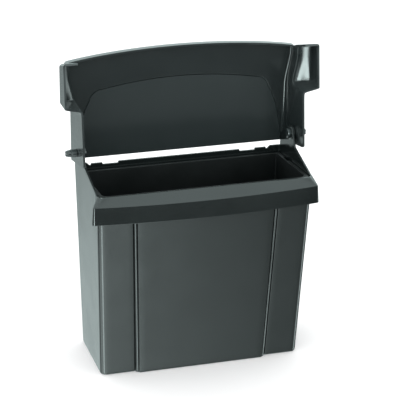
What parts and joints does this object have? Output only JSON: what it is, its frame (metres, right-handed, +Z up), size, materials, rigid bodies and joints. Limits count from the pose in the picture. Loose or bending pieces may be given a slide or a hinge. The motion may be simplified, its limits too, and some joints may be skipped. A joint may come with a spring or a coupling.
{
  "type": "waste bin",
  "caption": "Slim wall-mounted waste bin with a drafted tub, bowed front lip, hinged hood lid that stands open, snap-in hinge pins and a lift-out rigid liner.",
  "frame": {"origin": "centre of the flat base face, at the level the bin would stand on", "axes": "+Z up, the front faces -Y, the flat back that meets the wall faces +Y, +X to the right seen from the front"},
  "size_m": [0.3164, 0.136, 0.3906],
  "materials": {
    "body_plastic": "moulded, semi-gloss",
    "lid_plastic": "moulded, semi-gloss",
    "liner_plastic": "moulded, satin",
    "pin_plastic": "moulded, semi-gloss"
  },
  "bodies": {
    "bin": {"outer_body": "body_plastic", "hinge_pin_left": "pin_plastic", "hinge_pin_right": "pin_plastic", "pin_collar_left": "pin_plastic", "pin_collar_right": "pin_plastic"},
    "lid": {"lid": "lid_plastic"},
    "liner": {"rigid_liner": "liner_plastic"}
  },
  "joints": [
    {"name": "lid_hinge", "type": "hinge", "parent": "bin", "child": "lid", "pos_m": [0, 0.0126, 0.2703], "axis": [1, 0, 0], "range_deg": [0, 128]},
    {"name": "liner_lift", "type": "slide", "parent": "bin", "child": "liner", "axis": [0, 0, 1], "range_m": [0, 0.004]}
  ]
}
